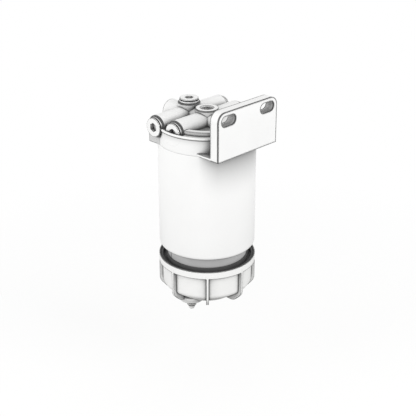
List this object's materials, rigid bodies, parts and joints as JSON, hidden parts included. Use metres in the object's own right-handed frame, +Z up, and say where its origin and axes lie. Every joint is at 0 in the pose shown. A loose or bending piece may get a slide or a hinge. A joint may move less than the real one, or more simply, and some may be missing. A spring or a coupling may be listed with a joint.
{
  "type": "fuel water separator",
  "caption": "Wall-mounted screw-on fuel filter: cast head with ports and slotted bracket, steel can with pleated element, and a ribbed water bowl with a drain valve.",
  "frame": {"origin": "middle of the two bracket slots, on the face that bolts to the wall", "axes": "+Y into the wall, +Z up, along the filter's axis, X across the bracket"},
  "size_m": [0.1108, 0.117, 0.2549],
  "materials": {
    "cast_coating": "white powder coat on an aluminium casting",
    "can_enamel": "smooth white enamel on drawn steel",
    "plug_metal": "turned, pale anodised",
    "plated_steel": "zinc plated",
    "collar_metal": "grey primer on turned steel",
    "bowl_plastic": "moulded white plastic with a fine satin grain",
    "valve_plastic": "moulded pale plastic",
    "rubber": "black nitrile rubber, dull",
    "filter_paper": "resin-treated cream paper"
  },
  "bodies": {
    "head": {"mounting_head": "cast_coating", "centre_stud": "plated_steel", "front_left_plug": "plug_metal", "front_right_plug": "plug_metal", "rear_left_plug": "plug_metal", "rear_right_plug": "plug_metal", "vent_plug": "plug_metal", "front_left_seal": "rubber", "front_right_seal": "rubber", "rear_left_seal": "rubber", "rear_right_seal": "rubber", "vent_seal": "rubber"},
    "can_seal": {"top_gasket": "rubber"},
    "filter_can": {"can_shell": "can_enamel", "gasket_retainer": "plated_steel", "tapping_plate": "plated_steel", "element_seal": "rubber", "upper_end_cap": "plated_steel", "lower_end_cap": "plated_steel", "pleated_media": "filter_paper", "centre_tube": "plated_steel", "element_spring": "plated_steel", "lower_collar": "collar_metal"},
    "bowl_seal": {"bowl_gasket": "rubber"},
    "bowl": {"water_bowl": "bowl_plastic", "sensor_plug": "bowl_plastic", "sensor_seal": "rubber"},
    "drain_seal": {"drain_o_ring": "rubber"},
    "drain": {"drain_valve": "valve_plastic"}
  },
  "joints": [
    {"name": "can_lower", "type": "slide", "parent": "head", "child": "can_seal", "axis": [0, 0, -1], "range_m": [0, 0.015]},
    {"name": "can_turn", "type": "hinge", "parent": "can_seal", "child": "filter_can", "pos_m": [0, -0.06, -0.0479], "axis": [0, 0, -1], "range_deg": [0, 3600]},
    {"name": "bowl_lower", "type": "slide", "parent": "filter_can", "child": "bowl_seal", "axis": [0, 0, -1], "range_m": [0, 0.0084]},
    {"name": "bowl_turn", "type": "hinge", "parent": "bowl_seal", "child": "bowl", "pos_m": [0, -0.06, -0.1865], "axis": [0, 0, -1], "range_deg": [0, 1008]},
    {"name": "drain_lower", "type": "slide", "parent": "bowl", "child": "drain_seal", "axis": [0, 0, -1], "range_m": [0, 0.0025]},
    {"name": "drain_turn", "type": "hinge", "parent": "drain_seal", "child": "drain", "pos_m": [0.0254, -0.06, -0.2322], "axis": [0, 0, -1], "range_deg": [0, 720]}
  ],
  "couplings": [
    {"joint": "can_lower", "follows": "can_turn", "m_per_rad": 0.00023873},
    {"joint": "bowl_lower", "follows": "bowl_turn", "m_per_rad": 0.00047746},
    {"joint": "drain_turn", "follows": "drain_lower", "rad_per_m": 5026.5}
  ]
}
